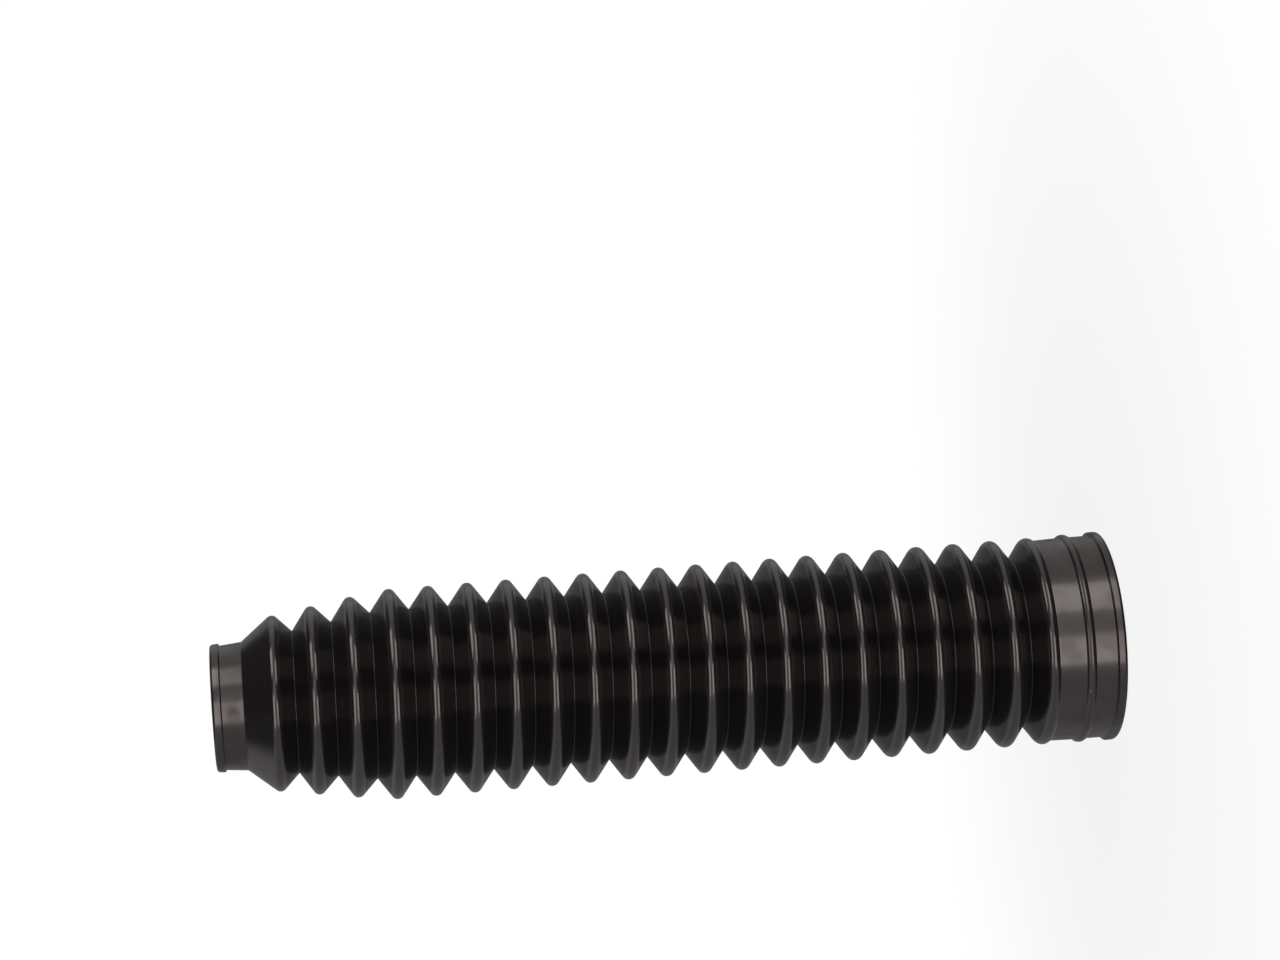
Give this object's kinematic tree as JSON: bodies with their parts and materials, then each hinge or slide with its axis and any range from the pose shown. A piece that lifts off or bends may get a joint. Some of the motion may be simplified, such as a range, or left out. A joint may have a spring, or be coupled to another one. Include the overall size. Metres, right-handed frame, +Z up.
{
  "type": "fork gaiter",
  "caption": "Moulded black rubber bellows that slides over a motorbike fork leg, with a wide ribbed cuff at one end and a narrow beaded cuff at the other.",
  "frame": {"origin": "centre of the face of the wide end, which is the bottom of the part's box", "axes": "+Z up the gaiter's axis, from the wide end to the narrow end"},
  "size_m": [0.0626, 0.0626, 0.267],
  "materials": {
    "rubber": "smooth moulded black rubber with a low satin sheen"
  },
  "bodies": {
    "root": {"gaiter": "rubber"}
  },
  "joints": []
}
